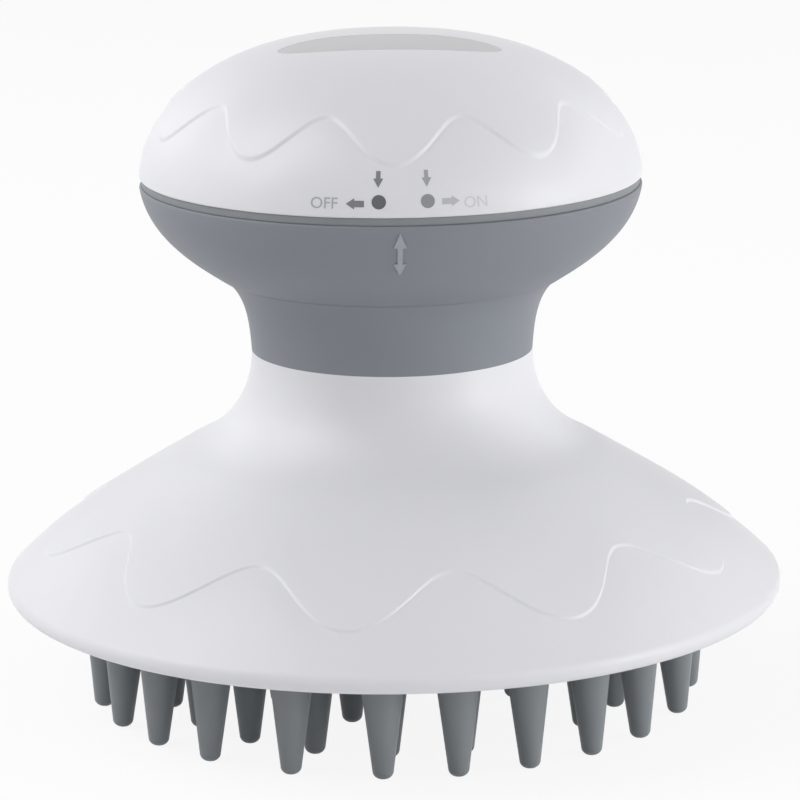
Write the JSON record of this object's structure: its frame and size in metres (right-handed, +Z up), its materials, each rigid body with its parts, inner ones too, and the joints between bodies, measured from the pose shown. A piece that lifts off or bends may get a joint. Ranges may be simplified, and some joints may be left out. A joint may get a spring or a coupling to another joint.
{
  "type": "electric scalp massager",
  "caption": "Palm-held electric scalp massager: domed twist cap over a grip bowl and neck, flared bell, soft massage fingers, upright battery tube and eccentric motor.",
  "frame": {"origin": "on the vertical axis of the massager, in the plane of the finger tips it stands on", "axes": "+Z up through the centre of the cap; the index mark and the ON and OFF marks face -Y"},
  "size_m": [0.11, 0.11, 0.0943],
  "materials": {
    "white_shell": "satin moulded ABS",
    "badge": "satin inlay",
    "grey_shell": "satin moulded ABS",
    "black_plastic": "moulded",
    "seal_rubber": "smooth rubber",
    "finger_rubber": "satin silicone rubber",
    "lead_insulation": "wire insulation",
    "cell_sleeve": "plain printed sleeve",
    "contact_metal": "stamped strip",
    "screw_steel": "zinc plated",
    "motor_steel": "drawn steel",
    "magnet": "sintered ferrite",
    "weight_metal": "sintered"
  },
  "bodies": {
    "housing": {"cap_seal": "seal_rubber", "grip_bowl": "grey_shell", "neck_collar": "grey_shell", "neck_nut": "black_plastic", "housing_screws": "screw_steel", "battery_tube": "black_plastic", "battery_cells": "cell_sleeve", "cell_springs": "screw_steel", "floor_contacts": "contact_metal", "motor_leads": "lead_insulation", "skirt_shell": "white_shell", "base_plate": "grey_shell", "base_screws": "screw_steel", "massage_pad": "finger_rubber", "outer_fingers": "finger_rubber", "middle_fingers": "finger_rubber", "inner_fingers": "finger_rubber", "motor_can": "motor_steel", "motor_endcap": "black_plastic", "motor_magnets": "magnet", "motor_clamp": "black_plastic", "clamp_screws": "screw_steel"},
    "lid": {"contact_lid": "black_plastic", "lid_bridges": "contact_metal", "switch_pads": "contact_metal"},
    "cap": {"cap_shell": "white_shell", "badge_plate": "badge", "switch_wiper": "contact_metal", "lid_screw": "screw_steel"},
    "rotor": {"motor_armature": "motor_steel", "motor_shaft": "screw_steel", "eccentric_weight": "weight_metal"}
  },
  "joints": [
    {"name": "cap_lift", "type": "slide", "parent": "housing", "child": "lid", "axis": [0, 0, 1], "range_m": [0, 0.05]},
    {"name": "cap_twist", "type": "hinge", "parent": "lid", "child": "cap", "pos_m": [0, 0, 0.0748], "axis": [0, 0, 1], "range_deg": [-6.5, 4.7]},
    {"name": "motor_spin", "type": "hinge", "parent": "housing", "child": "rotor", "pos_m": [0, 0, 0.034], "axis": [0, 0, 1], "continuous": true}
  ]
}
